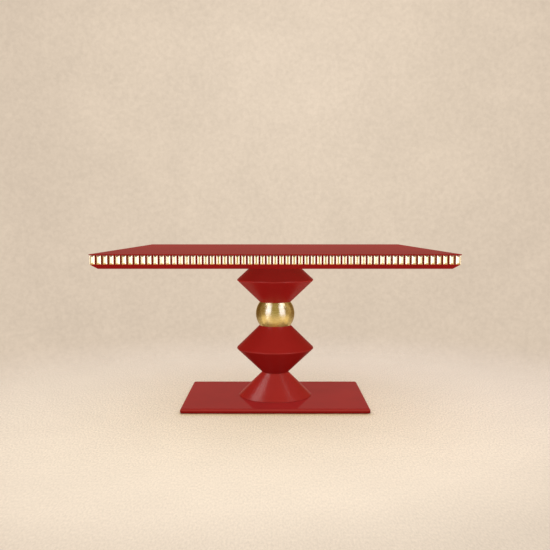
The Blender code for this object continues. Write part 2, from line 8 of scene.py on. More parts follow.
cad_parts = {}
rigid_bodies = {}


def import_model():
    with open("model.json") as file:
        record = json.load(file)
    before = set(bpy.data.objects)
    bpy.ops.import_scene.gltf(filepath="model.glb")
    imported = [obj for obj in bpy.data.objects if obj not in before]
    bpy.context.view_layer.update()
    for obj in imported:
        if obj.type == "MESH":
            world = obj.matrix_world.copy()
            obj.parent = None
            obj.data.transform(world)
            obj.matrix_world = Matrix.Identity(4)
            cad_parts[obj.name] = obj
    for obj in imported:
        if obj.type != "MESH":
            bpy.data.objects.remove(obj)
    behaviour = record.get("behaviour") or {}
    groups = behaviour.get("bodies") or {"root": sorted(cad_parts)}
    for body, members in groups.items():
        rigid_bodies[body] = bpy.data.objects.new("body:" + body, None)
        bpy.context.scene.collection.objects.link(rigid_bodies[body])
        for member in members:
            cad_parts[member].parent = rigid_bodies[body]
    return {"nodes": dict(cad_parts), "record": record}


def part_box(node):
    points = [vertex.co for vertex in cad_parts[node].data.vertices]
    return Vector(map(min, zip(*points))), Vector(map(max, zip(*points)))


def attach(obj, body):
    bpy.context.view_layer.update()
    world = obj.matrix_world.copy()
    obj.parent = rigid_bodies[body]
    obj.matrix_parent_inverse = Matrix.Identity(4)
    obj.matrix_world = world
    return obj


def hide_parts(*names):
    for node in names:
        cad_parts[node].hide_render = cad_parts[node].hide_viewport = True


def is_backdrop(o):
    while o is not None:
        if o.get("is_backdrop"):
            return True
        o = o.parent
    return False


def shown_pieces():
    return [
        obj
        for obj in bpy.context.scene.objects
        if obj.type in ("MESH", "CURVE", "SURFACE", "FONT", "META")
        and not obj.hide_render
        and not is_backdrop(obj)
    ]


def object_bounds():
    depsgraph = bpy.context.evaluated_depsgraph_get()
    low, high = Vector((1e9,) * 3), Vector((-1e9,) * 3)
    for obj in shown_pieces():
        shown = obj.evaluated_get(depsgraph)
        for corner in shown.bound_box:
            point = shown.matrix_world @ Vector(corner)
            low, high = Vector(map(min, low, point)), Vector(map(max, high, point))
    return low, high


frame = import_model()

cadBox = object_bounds()
nodes = frame["nodes"]
scene = bpy.context.scene
mm = 0.001
white = (1.0, 1.0, 1.0)
black = (0.0, 0.0, 0.0)


# small helpers for the node trees
def addNode(tree, kind, options=None, **inputs):
    node = tree.nodes.new("ShaderNode" + kind)
    for name, value in (options or {}).items():
        setattr(node, name, value)
    for name, value in inputs.items():
        node.inputs[name].default_value = value
    return node


def newFinish(name):
    material = bpy.data.materials.new(name)
    material.use_nodes = True
    tree = material.node_tree
    shader = tree.nodes["Principled BSDF"]
    place = addNode(tree, "TexCoord").outputs["Object"]  # metres, same frame as the CAD
    return material, tree, shader, place


def stretched(tree, place, scale):
    node = addNode(tree, "Mapping", Scale=scale)
    tree.links.new(place, node.inputs["Vector"])
    return node.outputs["Vector"]


def noise(tree, place, scale, detail=3.0, rough=0.5, warp=0.0):
    node = addNode(tree, "TexNoise", Scale=scale, Detail=detail, Roughness=rough, Distortion=warp)
    tree.links.new(place, node.inputs["Vector"])
    return node.outputs["Fac"]


def ramp(tree, source, stops, colours):
    node = tree.nodes.new("ShaderNodeValToRGB")
    elements = node.color_ramp.elements
    while len(elements) < len(stops):
        elements.new(0.5)
    for element, stop, colour in zip(elements, stops, colours):
        element.position = stop
        element.color = (*colour, 1)
    tree.links.new(source, node.inputs["Fac"])
    return node.outputs["Color"]


def spread(tree, source, low, high, fromLow=0.3, fromHigh=0.7):
    limits = {"From Min": fromLow, "From Max": fromHigh, "To Min": low, "To Max": high}
    node = addNode(tree, "MapRange", **limits)
    tree.links.new(source, node.inputs["Value"])
    return node.outputs["Result"]


def mixColour(tree, factor, first, second, how="MIX"):
    node = addNode(tree, "Mix", {"data_type": "RGBA", "blend_type": how})
    for value, socket in ((factor, 0), (first, 6), (second, 7)):  # the node's colour sockets
        if isinstance(value, bpy.types.NodeSocket):
            tree.links.new(value, node.inputs[socket])
        else:
            node.inputs[socket].default_value = value
    return node.outputs[2]


def bump(tree, shader, source, depth, strength=1.0):
    node = addNode(tree, "Bump", Strength=strength, Distance=depth)
    tree.links.new(source, node.inputs["Height"])
    tree.links.new(node.outputs["Normal"], shader.inputs["Normal"])


def distanceFrom(tree, place, spot):
    node = addNode(tree, "VectorMath", {"operation": "DISTANCE"})
    node.inputs[1].default_value = spot
    tree.links.new(place, node.inputs[0])
    return node.outputs["Value"]


def split(tree, source):
    node = addNode(tree, "SeparateXYZ")
    tree.links.new(source, node.inputs["Vector"])
    return node.outputs


def facing(tree):
    # 1 on what faces straight up, 0 on upright faces
    return split(tree, addNode(tree, "NewGeometry").outputs["Normal"])["Z"]


# red lacquer: polished to a gloss on the flat tops, left satin on the turned and moulded pieces
lacquerSet = {
    "deep": (0.262, 0.0086, 0.0082),
    "full": (0.290, 0.0098, 0.0092),
    "clouds": (4.5, 5.0, 0.55, 0.3),  # noise, as in the other finishes: scale, detail, roughness, warp
    "cloudStops": (0.35, 0.65),
    "smudges": (22.0, 4.0, 0.6, 0.8),
    "roughness": (0.30, 0.42),
    "peel": (380.0, 2.0),
    "peelDepth": 0.004 * mm,
    # a sheen's tone scales the red: below 1 it is painted shade, above 1 painted light, on one and the same
    # lacquer
    "sheens": {
        "satin": {"tone": 1.0, "coat": 0.25, "ior": 2.0, "roughness": 0.28},
        "top": {"tone": 0.87, "coat": 0.10, "ior": 1.5, "roughness": 0.04},
        "base": {
            "tone": 1.12,
            "coat": 0.155,
            "ior": 1.5,
            "roughness": 0.04,
            # painted shade: the flat top's red is darker than the sides
            "flatShadeTone": 0.90,
            "paintedSheen": 0.0085,  # painted sheen, which greys the red on the flat
            "paintedSheenFacing": (0.2, 0.9),
            "sideCoat": 0.03,
            "rim": (0.42, 0.045, 0.040),  # painted highlight, paler along the soft top edge
            "paintedHighlightFacing": (0.03, 0.12, 0.60, 0.93),
        },
        "foot": {"tone": 0.86, "coat": 0.34, "ior": 2.0, "roughness": 0.23},
        "edge": {"tone": 1.0, "coat": 0.05, "ior": 1.5, "roughness": 0.30},
        # the ground's low tone is painted shade in the recess behind the blocks
        "ground": {"tone": 0.42, "coat": 0.05, "ior": 1.5, "roughness": 0.35},
    },
}


def makeLacquer(sheen):
    s = lacquerSet
    look = s["sheens"][sheen]
    material, tree, shader, place = newFinish(sheen + "Lacquer")
    clouds = noise(tree, place, *s["clouds"])
    # the sheen's tone: painted shade or painted light on the one red
    tones = [tuple(c * look["tone"] for c in s[tone]) for tone in ("deep", "full")]
    red = ramp(tree, clouds, s["cloudStops"], tones)
    if "paintedSheen" in look:
        # painted shade and painted sheen on what faces up, chosen by the normal
        up = spread(tree, facing(tree), 0.0, 1.0, *look["paintedSheenFacing"])
        flat = look["flatShadeTone"]
        red = mixColour(tree, up, red, (flat, flat, flat, 1), "MULTIPLY")
        red = mixColour(tree, up, red, (0, look["paintedSheen"], look["paintedSheen"], 1), "ADD")
        coat = spread(tree, up, look["sideCoat"], look["coat"], 0.0, 1.0)
        tree.links.new(coat, shader.inputs["Coat Weight"])
        # painted highlight along the soft top edge
        rim = ramp(tree, facing(tree), look["paintedHighlightFacing"], (black, white, white, black))
        red = mixColour(tree, rim, red, (*look["rim"], 1))
    tree.links.new(red, shader.inputs["Base Color"])
    smudges = noise(tree, place, *s["smudges"])
    tree.links.new(spread(tree, smudges, *s["roughness"]), shader.inputs["Roughness"])
    bump(tree, shader, noise(tree, place, *s["peel"]), s["peelDepth"])
    shader.inputs["Specular IOR Level"].default_value = 0.0  # all gloss is in the clear coat
    shader.inputs["Coat Weight"].default_value = look["coat"]
    shader.inputs["Coat IOR"].default_value = look["ior"]
    shader.inputs["Coat Roughness"].default_value = look["roughness"]
    return material


# gold leaf on the carved blocks
leafSet = {
    "pale": (0.93, 0.74, 0.33),
    "warm": (0.86, 0.65, 0.25),
    "patches": (90.0, 5.0, 0.6, 0.6),
    "patchStops": (0.34, 0.62),
    "slopeShade": (0.20, 0.075, 0.035),  # painted shade on the upper slopes, where the lip overhangs them
    "slopeShadeFacing": (0.15, 0.45),
    "rub": (240.0, 3.0, 0.6),
    "roughness": (0.11, 0.21),
    "wrinkles": (900.0, 4.0, 0.6),
    "wrinkleDepth": 0.02 * mm,
}


def makeLeaf():
    s = leafSet
    material, tree, shader, place = newFinish("goldLeaf")
    patches = noise(tree, place, *s["patches"])
    gold = ramp(tree, patches, s["patchStops"], (s["warm"], s["pale"]))
    # painted shade: a dark red-brown on the upward-facing slopes
    shadedSlope = spread(tree, facing(tree), 0.0, 1.0, *s["slopeShadeFacing"])
    tree.links.new(mixColour(tree, shadedSlope, gold, (*s["slopeShade"], 1)), shader.inputs["Base Color"])
    rub = noise(tree, place, *s["rub"])
    tree.links.new(spread(tree, rub, *s["roughness"]), shader.inputs["Roughness"])
    bump(tree, shader, noise(tree, place, *s["wrinkles"]), s["wrinkleDepth"])
    shader.inputs["Metallic"].default_value = 1.0
    return material


# spun brass, gilded and rubbed back round the ball, with painted shade deepening the gold towards the bottom
giltSet = {
    "bright": (0.82, 0.675, 0.335),
    "warm": (0.76, 0.605, 0.26),
    "bronze": (0.66, 0.51, 0.20),
    "patches": (26.0, 6.0, 0.62, 0.5),
    "patchStops": (0.30, 0.46, 0.64),
    "bottomShade": (1.0, 0.98, 0.80),  # painted shade, deeper gold towards the bottom
    "bottomShadeStops": (0.0, 0.55),
    "brush": (14.0, 14.0, 620.0),  # fine from top to bottom, long round the ball
    "streaks": (1.0, 4.0, 0.6),
    "streakTone": (0.80, 0.77, 0.70),
    "streakStops": (0.30, 0.62),
    "brushDepth": 0.012 * mm,
    "brushStrength": 0.6,
    "roughness": (0.21, 0.29),
    "drawnOut": 0.85,  # spun metal draws its highlights out up and down
    "drawnTurn": 0.25,
}


def makeGilt():
    s = giltSet
    material, tree, shader, place = newFinish("giltBrass")
    patches = noise(tree, place, *s["patches"])
    tone = ramp(tree, patches, s["patchStops"], (s["bronze"], s["warm"], s["bright"]))
    streaks = noise(tree, stretched(tree, place, s["brush"]), *s["streaks"])
    lines = ramp(tree, streaks, s["streakStops"], (s["streakTone"], white))
    # painted shade: darker, deeper gold towards the bottom of the ball
    low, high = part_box("ball_shell")
    rise = spread(tree, split(tree, place)["Z"], 0.0, 1.0, low.z, high.z)
    shading = ramp(tree, rise, s["bottomShadeStops"], (s["bottomShade"], white))
    tone = mixColour(tree, 1.0, tone, shading, "MULTIPLY")
    tree.links.new(mixColour(tree, 1.0, tone, lines, "MULTIPLY"), shader.inputs["Base Color"])
    tree.links.new(spread(tree, streaks, *s["roughness"]), shader.inputs["Roughness"])
    bump(tree, shader, streaks, s["brushDepth"], s["brushStrength"])
    shader.inputs["Metallic"].default_value = 1.0
    shader.inputs["Anisotropic"].default_value = s["drawnOut"]
    shader.inputs["Anisotropic Rotation"].default_value = s["drawnTurn"]
    around = addNode(tree, "Tangent", {"direction_type": "RADIAL", "axis": "Z"})
    tree.links.new(around.outputs["Tangent"], shader.inputs["Tangent"])
    return material


# sawn and planed softwood inside
woodSet = {
    "stretch": (60.0, 2.4, 60.0),
    "marks": (1.0, 6.0, 0.6, 0.4),
    "stops": (0.34, 0.56),
    "colours": ((0.40, 0.25, 0.12), (0.62, 0.44, 0.26)),
    "roughness": (0.72, 0.55),
    "depth": 0.15 * mm,
}
# plywood, its plies lying flat
plySet = {
    "stretch": (6.0, 26.0, 640.0),
    "marks": (1.0, 4.0, 0.55),
    "stops": (0.40, 0.54),
    "colours": ((0.42, 0.28, 0.15), (0.66, 0.50, 0.31)),
    "roughness": (0.75, 0.6),
    "depth": 0.12 * mm,
}
# hot-rolled steel with a black powder coat
blackSteelSet = {
    "marks": (40.0, 5.0, 0.6),
    "stops": (0.35, 0.65),
    "colours": ((0.018, 0.018, 0.019), (0.040, 0.040, 0.042)),
    "roughness": (0.42, 0.58),
    "relief": (1400.0, 2.0),
    "depth": 0.06 * mm,
}
# bright zinc plate on the screws, nuts and rod
zincSet = {
    "marks": (320.0, 4.0, 0.6, 0.5),
    "stops": (0.36, 0.64),
    "colours": ((0.50, 0.51, 0.52), (0.66, 0.68, 0.71)),
    "roughness": (0.24, 0.42),
    "depth": 0.015 * mm,
    "metallic": 1.0,
}
# moulded nylon of the glide feet
nylonSet = {
    "marks": (120.0, 4.0, 0.6),
    "stops": (0.35, 0.65),
    "colours": ((0.016, 0.016, 0.017), (0.034, 0.034, 0.036)),
    "roughness": (0.40, 0.55),
    "relief": (2200.0, 2.0),
    "depth": 0.03 * mm,
}


def makeMarked(name, s):
    # grain, plies, clouds or spangle give the colour, the roughness and, without a finer relief, the bump
    material, tree, shader, place = newFinish(name)
    if "stretch" in s:
        place = stretched(tree, place, s["stretch"])
    marks = noise(tree, place, *s["marks"])
    tree.links.new(ramp(tree, marks, s["stops"], s["colours"]), shader.inputs["Base Color"])
    tree.links.new(spread(tree, marks, *s["roughness"]), shader.inputs["Roughness"])
    relief = noise(tree, place, *s["relief"]) if "relief" in s else marks
    bump(tree, shader, relief, s["depth"])
    shader.inputs["Metallic"].default_value = s.get("metallic", 0.0)
    return material


lacquers = {sheen: makeLacquer(sheen) for sheen in lacquerSet["sheens"]}
finishes = {
    "red_lacquer": lacquers["satin"],
    "gilding": makeLeaf(),
    "gilt_brass": makeGilt(),
    "bare_wood": makeMarked("bareWood", woodSet),
    "plywood": makeMarked("plywood", plySet),
    "black_steel": makeMarked("blackSteel", blackSteelSet),
    "zinc_steel": makeMarked("zincSteel", zincSet),
    "black_nylon": makeMarked("blackNylon", nylonSet),
}
print("finishes: %d lacquers, %d others" % (len(lacquers), len(finishes) - 1))

# every CAD node takes its own finish; those that a finer piece stands for are hidden later
for part in frame["record"]["subparts"]:
    mesh = nodes[part["node"]].data
    mesh.materials.clear()
    mesh.materials.append(finishes[part["material_slot"]])


# making and placing pieces
def addPiece(name, bm, slot, stands=(), body="table", sharp=32.0, finish=None):
    bmesh.ops.recalc_face_normals(bm, faces=bm.faces)
    mesh = bpy.data.meshes.new(name)
    bm.to_mesh(mesh)
    bm.free()
    mesh.shade_smooth()
    mesh.set_sharp_from_angle(angle=math.radians(sharp))
    mesh.materials.append(finish or finishes[slot])
    piece = bpy.data.objects.new(name, mesh)
    scene.collection.objects.link(piece)
    weights = piece.modifiers.new("flat faces stay flat", "WEIGHTED_NORMAL")
    weights.keep_sharp = True
    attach(piece, body)
    if stands:
        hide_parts(*stands)
    return piece


def joinRings(bm, rings, closed=False):
    pairs = list(zip(rings, rings[1:]))
    if closed:
        pairs.append((rings[-1], rings[0]))
    for lower, upper in pairs:
        count = len(lower)
        for i in range(count):
            j = (i + 1) % count
            bm.faces.new((lower[i], lower[j], upper[j], upper[i]))


def roundCorner(before, corner, after, radius, steps):
    corner = Vector(corner)
    toBefore = (Vector(before) - corner).normalized()
    toAfter = (Vector(after) - corner).normalized()
    half = toBefore.angle(toAfter) / 2
    centre = corner + (toBefore + toAfter).normalized() * radius / math.sin(half)
    start = corner + toBefore * radius / math.tan(half) - centre
    end = corner + toAfter * radius / math.tan(half) - centre
    total = start.angle(end)
    points = []
    for i in range(steps + 1):
        t = i / steps
        way = (start * math.sin((1 - t) * total) + end * math.sin(t * total)) / math.sin(total)
        points.append(tuple(centre + way))
    return points


def roundProfile(points, steps=5):
    # each point is (across, up, radius); closed outline
    made = []
    count = len(points)
    for i, (x, z, radius) in enumerate(points):
        if radius:
            made += roundCorner(points[i - 1][:2], (x, z), points[(i + 1) % count][:2], radius, steps)
        else:
            made.append((x, z))
    return made


def addRing(bm, radius, height, steps, spot=(0, 0)):
    ring = []
    for i in range(steps):
        angle = 2 * math.pi * i / steps
        x = spot[0] + radius * math.cos(angle)
        y = spot[1] + radius * math.sin(angle)
        ring.append(bm.verts.new((x, y, height)))
    return ring


def turn(profile, steps):
    # spins a closed outline of (radius, height) about the pedestal's axis
    bm = bmesh.new()
    rings = [addRing(bm, radius, height, steps) for radius, height in profile]
    joinRings(bm, rings, closed=True)
    return bm


def addPost(bm, spot, levels, steps):
    # a stepped post or drill: (radius, height) from the bottom up, closed at both ends
    rings = [addRing(bm, radius, height, steps, spot) for radius, height in levels]
    joinRings(bm, rings)
    bm.faces.new(rings[0][::-1])
    bm.faces.new(rings[-1])


def carved(bm, drills):
    # takes the drills out of a shape and gives the rest back
    shapes = []
    for shape in (bm, drills):
        bmesh.ops.recalc_face_normals(shape, faces=shape.faces)
        mesh = bpy.data.meshes.new("carving")
        shape.to_mesh(mesh)
        shape.free()
        item = bpy.data.objects.new("carving", mesh)
        scene.collection.objects.link(item)
        shapes.append(item)
    cut = shapes[0].modifiers.new("cut", "BOOLEAN")
    cut.object = shapes[1]
    cut.solver = "EXACT"
    bpy.context.view_layer.update()
    shaped = shapes[0].evaluated_get(bpy.context.evaluated_depsgraph_get())
    done = bpy.data.meshes.new_from_object(shaped)
    left = bmesh.new()
    left.from_mesh(done)
    for item in shapes:
        mesh = item.data
        bpy.data.objects.remove(item)
        bpy.data.meshes.remove(mesh)
    bpy.data.meshes.remove(done)
    return left


def roundedLoop(bm, halfX, halfY, radius, height, steps):
    loop = []
    for quarter, (signX, signY) in enumerate(((1, 1), (-1, 1), (-1, -1), (1, -1))):
        for i in range(steps + 1):
            angle = math.pi / 2 * (quarter + i / steps)
            x = signX * (halfX - radius) + radius * math.cos(angle)
            y = signY * (halfY - radius) + radius * math.sin(angle)
            loop.append(bm.verts.new((x, y, height)))
    return loop


cornerKeep = 0.999  # a corner's radius shrinks by this share of an inset, so it never closes to a point


def roundedSlab(low, high, corner, lowRound, highRound, cornerSteps, roundSteps):
    bm = bmesh.new()
    halfX = (high.x - low.x) / 2
    halfY = (high.y - low.y) / 2
    angles = [math.pi / 2 * i / roundSteps for i in range(roundSteps + 1)]
    levels = [(lowRound * (1 - math.sin(a)), low.z + lowRound * (1 - math.cos(a))) for a in angles]
    levels += [(highRound * (1 - math.cos(a)), high.z - highRound * (1 - math.sin(a))) for a in angles]
    rings = []
    for inset, height in levels:
        radius = corner - inset * cornerKeep
        rings.append(roundedLoop(bm, halfX - inset, halfY - inset, radius, height, cornerSteps))
    joinRings(bm, rings)
    bm.faces.new(rings[0])
    bm.faces.new(rings[-1])
    return bm


def slabOf(node, s, lowRound, highRound):
    low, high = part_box(node)
    return roundedSlab(low, high, s["corner"], lowRound, highRound, s["cornerSteps"], s["roundSteps"])


def heights(node):
    low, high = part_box(node)
    return low.z, high.z


def middleOf(node):
    low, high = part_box(node)
    return (low + high) / 2


# tabletop: thin lacquered panel, whose edge is the lip over the gilded row
tabletopSet = {"corner": 4 * mm, "arris": 1.5 * mm, "cornerSteps": 10, "roundSteps": 6}


def makeTabletop():
    s = tabletopSet
    low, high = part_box("tabletop_panel")
    bm = slabOf("tabletop_panel", s, s["arris"], s["arris"])
    addPiece("tabletop", bm, "red_lacquer", ["tabletop_panel"], finish=lacquers["top"])
    print("tabletop: %.0f mm wide" % ((high.x - low.x) / mm))


# the four sides of the top, turned about the pedestal's axis, and the four corners of the base
sides = {"front": 0.0, "right": 90.0, "back": 180.0, "left": -90.0}
corners = ("front_left", "front_right", "back_left", "back_right")
topHalf = (cadBox[1].x - cadBox[0].x) / 2
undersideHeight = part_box("underside_panel")[0].z
stripLow, stripHigh = heights("bead_strip_front")


def turnSide(bm, side):
    around = Matrix.Rotation(math.radians(sides[side]), 3, "Z")
    bmesh.ops.rotate(bm, cent=(0, 0, 0), matrix=around, verts=bm.verts)


# edge rails: a ledge under the gilded row and a slope below it, mitred
railSet = {
    "setback": 3 * mm,
    "slopeDepth": 27 * mm,
    "noseDrop": 1.8 * mm,  # clear of the gilded blocks
    "faceInset": 16.3 * mm,
    "backInset": 61.3 * mm,
    "mitreTrim": 0.212 * mm,
    "arris": 0.9 * mm,
    "arrisSteps": 4,
}


def makeRail(side):
    s = railSet
    nose = stripLow - s["noseDrop"]
    section = roundProfile([
        (s["backInset"], undersideHeight, 0),
        (s["setback"] + s["slopeDepth"], undersideHeight, s["arris"]),
        (s["setback"], nose, s["arris"]),
        (s["faceInset"], nose, 0),
        (s["faceInset"], stripHigh, 0),
        (s["backInset"], stripHigh, 0),
    ], s["arrisSteps"])
    bm = bmesh.new()
    ends = []
    for way in (-1, 1):
        end = []
        for inset, z in section:
            x = way * (topHalf - inset - s["mitreTrim"])
            end.append(bm.verts.new((x, inset - topHalf, z)))
        bm.faces.new(end)
        ends.append(end)
    joinRings(bm, ends)
    turnSide(bm, side)
    addPiece("rail_" + side, bm, "red_lacquer", ["edge_rail_" + side], finish=lacquers["edge"])


# gilded row: 59 small blocks a side with bevelled faces, on a red ground
blockSet = {
    "count": 59,
    "reach": 744 * mm,  # from the middle of a side to its last block's edge
    "space": 8.2 * mm,
    "topGap": 1.0 * mm,  # dark line under the lip
    "drop": 1.5 * mm,  # blocks come down past their ground
    "groundInset": 10 * mm,
    "groundBack": 16 * mm,
    "rimInset": 3.2 * mm,
    "faceInset": 1 * mm,
    "flat": 7.2 * mm,
    "endSlope": 5 * mm,
    "arris": 0.35 * mm,
    "arrisSteps": 2,
    "mitreGap": 0.2 * mm,
    "sharp": 20.0,
}


def makeBlock(width):
    s = blockSet
    half = width / 2
    flat = s["flat"] / 2
    slope = s["endSlope"]
    bm = bmesh.new()
    top = stripHigh - s["topGap"]
    bottom = stripLow - s["drop"]
    around = ((-half, bottom), (half, bottom), (half, top), (-half, top))
    face = ((-flat, bottom + slope), (flat, bottom + slope), (flat, top - slope), (-flat, top - slope))
    rings = []
    for inset, loop in ((s["groundInset"], around), (s["rimInset"], around), (s["faceInset"], face)):
        rings.append([bm.verts.new((x, inset - topHalf, z)) for x, z in loop])
    joinRings(bm, rings)
    bm.faces.new(rings[0])
    bm.faces.new(rings[2])
    backEdges = {edge for edge in bm.edges if all(v in rings[0] for v in edge.verts)}
    shaped = [edge for edge in bm.edges if edge not in backEdges]
    bmesh.ops.bevel(bm, geom=shaped, offset=s["arris"], segments=s["arrisSteps"], profile=0.5, affect="EDGES")
    return bm


def trimToMitre(bm):
    # the blocks at both ends of a side follow the mitre
    for way in (-1, 1):
        across = Vector((way, 1, 0)).normalized()
        spot = Vector((way * topHalf, -topHalf, 0)) - across * blockSet["mitreGap"]
        cut = bmesh.ops.bisect_plane(bm, geom=bm.verts[:] + bm.edges[:] + bm.faces[:], dist=1e-7,
                                     plane_co=spot, plane_no=across, clear_outer=True)
        edges = [e for e in cut["geom_cut"] if isinstance(e, bmesh.types.BMEdge)]
        bmesh.ops.edgeloop_fill(bm, edges=edges)


def makeGildedRow(side):
    s = blockSet
    width = (2 * s["reach"] + s["space"]) / s["count"] - s["space"]
    pattern = bpy.data.meshes.new("pattern")
    block = makeBlock(width)
    block.to_mesh(pattern)
    block.free()
    bm = bmesh.new()
    for i in range(s["count"]):
        middle = -s["reach"] + width / 2 + i * (width + s["space"])
        start = len(bm.verts)
        bm.from_mesh(pattern)
        bm.verts.ensure_lookup_table()
        bmesh.ops.translate(bm, vec=(middle, 0, 0), verts=bm.verts[start:])
    bpy.data.meshes.remove(pattern)
    trimToMitre(bm)
    turnSide(bm, side)
    addPiece("blocks_" + side, bm, "gilding", ["bead_strip_" + side], sharp=s["sharp"])


# red ground behind the blocks of a side, its lacquer darkened as painted shade
def makeGround(side):
    s = blockSet
    front = s["groundInset"]
    back = s["groundBack"]
    bm = bmesh.new()
    loops = []
    for z in (stripLow, stripHigh):
        loop = []
        for way, inset in ((-1, front), (1, front), (1, back), (-1, back)):
            x = way * (topHalf - inset - s["mitreGap"])
            loop.append(bm.verts.new((x, inset - topHalf, z)))
        loops.append(loop)
    joinRings(bm, loops)
    bm.faces.new(loops[0])
    bm.faces.new(loops[1])
    turnSide(bm, side)
    addPiece("ground_" + side, bm, "red_lacquer", ["bead_strip_" + side], finish=lacquers["ground"])


# pedestal: turned pieces stacked on tenons round the tie rod
pedestalSet = {
    "steps": 192,
    "bore": 9 * mm,
    "tenon": 35 * mm,
    "tenonHeight": 14 * mm,
    "gap": 0.3 * mm,
    "footRadius": 185.5 * mm,
    "waist": 66 * mm,
    "lowerFall": 115 * mm,
    "lowerRidge": 196 * mm,
    "neck": 79 * mm,
    "upperRise": 111.5 * mm,
    "upperRidge": 195 * mm,
    "upperTop": 96 * mm,
    "ridgeRound": 5 * mm,
    "arris": 0.8 * mm,
}


def tenonPoints(height):
    s = pedestalSet
    top = height + s["tenonHeight"]
    return [(s["tenon"], height, 0), (s["tenon"], top, 0), (s["bore"], top, 0)]


def socketPoints(height):
    s = pedestalSet
    wide = s["tenon"] + s["gap"]
    roof = height + s["tenonHeight"]
    return [(s["bore"], roof, 0), (wide, roof, 0), (wide, height, 0)]


def makeTurned(name, node, outline, sheen):
    bm = turn(roundProfile(outline), pedestalSet["steps"])
    addPiece(name, bm, "red_lacquer", [node], finish=lacquers[sheen])


def makePedestal():
    s = pedestalSet
    arris = s["arris"]
    footLow, footTop = heights("foot_cone")
    footHigh = footTop - s["tenonHeight"]
    foot = [(s["bore"], footLow, 0), (s["footRadius"], footLow, arris), (s["waist"], footHigh, arris)]
    foot += tenonPoints(footHigh)
    makeTurned("footCone", "foot_cone", foot, "foot")
    lowerLow, lowerTop = heights("lower_double_cone")
    lowerHigh = lowerTop - s["tenonHeight"]
    lower = socketPoints(lowerLow) + [(s["waist"], lowerLow, arris)]
    lower += [(s["lowerRidge"], lowerHigh - s["lowerFall"], s["ridgeRound"]), (s["neck"], lowerHigh, arris)]
    lower += tenonPoints(lowerHigh)
    makeTurned("lowerDoubleCone", "lower_double_cone", lower, "satin")
    upperLow, upperHigh = heights("upper_double_cone")
    upper = socketPoints(upperLow) + [(s["neck"], upperLow, arris)]
    upper += [(s["upperRidge"], upperLow + s["upperRise"], s["ridgeRound"])]
    upper += [(s["upperTop"], upperHigh, arris), (s["bore"], upperHigh, 0)]
    makeTurned("upperDoubleCone", "upper_double_cone", upper, "satin")
    print("pedestal: three turned pieces, %d steps round" % s["steps"])


# gilt ball: a spun shell between the two double cones
ballSet = {"radius": 98.5 * mm, "wall": 3 * mm, "steps": 192, "rise": 48, "lip": 0.6 * mm, "lipSteps": 3}


def makeBall():
    s = ballSet
    low, high = heights("ball_shell")
    middle = (low + high) / 2
    outline = []
    for radius, way in ((s["radius"], 1), (s["radius"] - s["wall"], -1)):
        limit = math.asin((high - low) / 2 / radius)
        for i in range(s["rise"] + 1):
            angle = way * limit * (2 * i / s["rise"] - 1)
            outline.append((radius * math.cos(angle), middle + radius * math.sin(angle), 0))
    for end in (0, s["rise"]):
        outline[end] = (*outline[end][:2], s["lip"])
    bm = turn(roundProfile(outline, s["lipSteps"]), s["steps"])
    addPiece("ballShell", bm, "gilt_brass", ["ball_shell"])
    print("ball: %.0f mm across" % (2 * s["radius"] / mm))


# base plate: lacquered, with a soft top edge and recesses below for the nut and glides
baseSet = {
    "corner": 16 * mm,
    "topRound": 11 * mm,
    "bottomRound": 2 * mm,
    "cornerSteps": 14,
    "roundSteps": 8,
    "recessSteps": 48,
    "nutRecess": 18 * mm,
    "glideRecess": 16 * mm,
    "insertHole": 6.8 * mm,
    "rodHole": 9 * mm,
    "slack": 0.3 * mm,
    "overrun": 1 * mm,  # drills start and end outside the plate
}


def steppedHole(wide, start, step, narrow, end):
    return [(wide, start), (wide, step), (narrow, step), (narrow, end)]


def makeBase():
    s = baseSet
    low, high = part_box("base_plate")
    bm = slabOf("base_plate", s, s["bottomRound"], s["topRound"])
    drills = bmesh.new()
    under = low.z - s["overrun"]
    over = high.z + s["overrun"]
    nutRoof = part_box("lower_washer")[1].z + s["slack"]
    hole = steppedHole(s["nutRecess"], under, nutRoof, s["rodHole"], over)
    addPost(drills, (0, 0), hole, s["recessSteps"])
    for corner in corners:
        insert = "glide_insert_" + corner
        insertLow, insertHigh = heights(insert)
        hole = steppedHole(s["glideRecess"], under, insertLow, s["insertHole"], insertHigh + s["slack"])
        addPost(drills, middleOf(insert), hole, s["recessSteps"])
    for screw in screwNodes("base"):
        addScrewHole(drills, screw, 1, under, over)
    addPiece("basePlate", carved(bm, drills), "red_lacquer", ["base_plate"], finish=lacquers["base"])
    print("base plate: %.0f by %.0f mm" % ((high.x - low.x) / mm, (high.y - low.y) / mm))


# steel plate under the top, with countersunk holes from both faces
plateSet = {
    "corner": 20 * mm,
    "arris": 0.6 * mm,
    "cornerSteps": 12,
    "roundSteps": 3,
    "rodHole": 9 * mm,
    "holeSteps": 48,
    "overrun": 1 * mm,
}


def makePlate():
    s = plateSet
    low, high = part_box("mounting_plate")
    bm = slabOf("mounting_plate", s, s["arris"], s["arris"])
    drills = bmesh.new()
    under = low.z - s["overrun"]
    over = high.z + s["overrun"]
    addPost(drills, (0, 0), [(s["rodHole"], under), (s["rodHole"], over)], s["holeSteps"])
    for screw in screwNodes("plate"):
        addScrewHole(drills, screw, 1, under, over)
    for screw in screwNodes("cone"):
        addScrewHole(drills, screw, -1, over, under)
    addPiece("mountingPlate", carved(bm, drills), "black_steel", ["mounting_plate"])
    print("mounting plate: %.0f mm square" % ((high.x - low.x) / mm))


